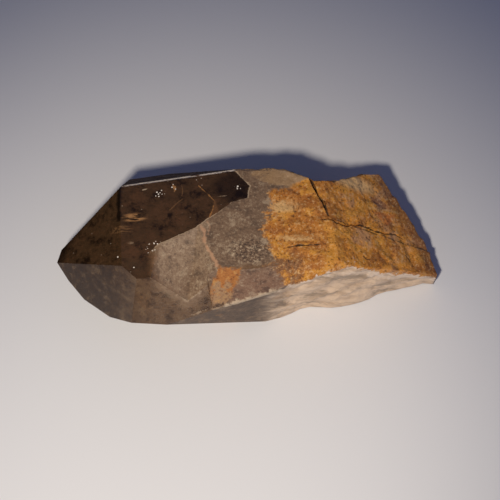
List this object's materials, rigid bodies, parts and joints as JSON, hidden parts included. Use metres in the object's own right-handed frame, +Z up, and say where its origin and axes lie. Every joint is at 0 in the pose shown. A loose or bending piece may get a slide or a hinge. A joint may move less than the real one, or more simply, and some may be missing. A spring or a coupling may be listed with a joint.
{
  "type": "citrine crystal",
  "caption": "Smoky citrine quartz point lying on a flat prism face, its broken root end rough and rust stained; a mineral specimen for display.",
  "frame": {"origin": "middle of the crystal's box, on the surface it rests on", "axes": "+X from the point towards the broken root, along the longest extent; +Z up; -Y is the near side with the milky broken wall"},
  "size_m": [0.0762, 0.0348, 0.022],
  "materials": {
    "smoky_quartz": "smoky glassy growth faces on the pointed half, matt rust-coloured and milky broken surfaces on the root half"
  },
  "bodies": {
    "root": {"citrine_crystal": "smoky_quartz"}
  },
  "joints": []
}
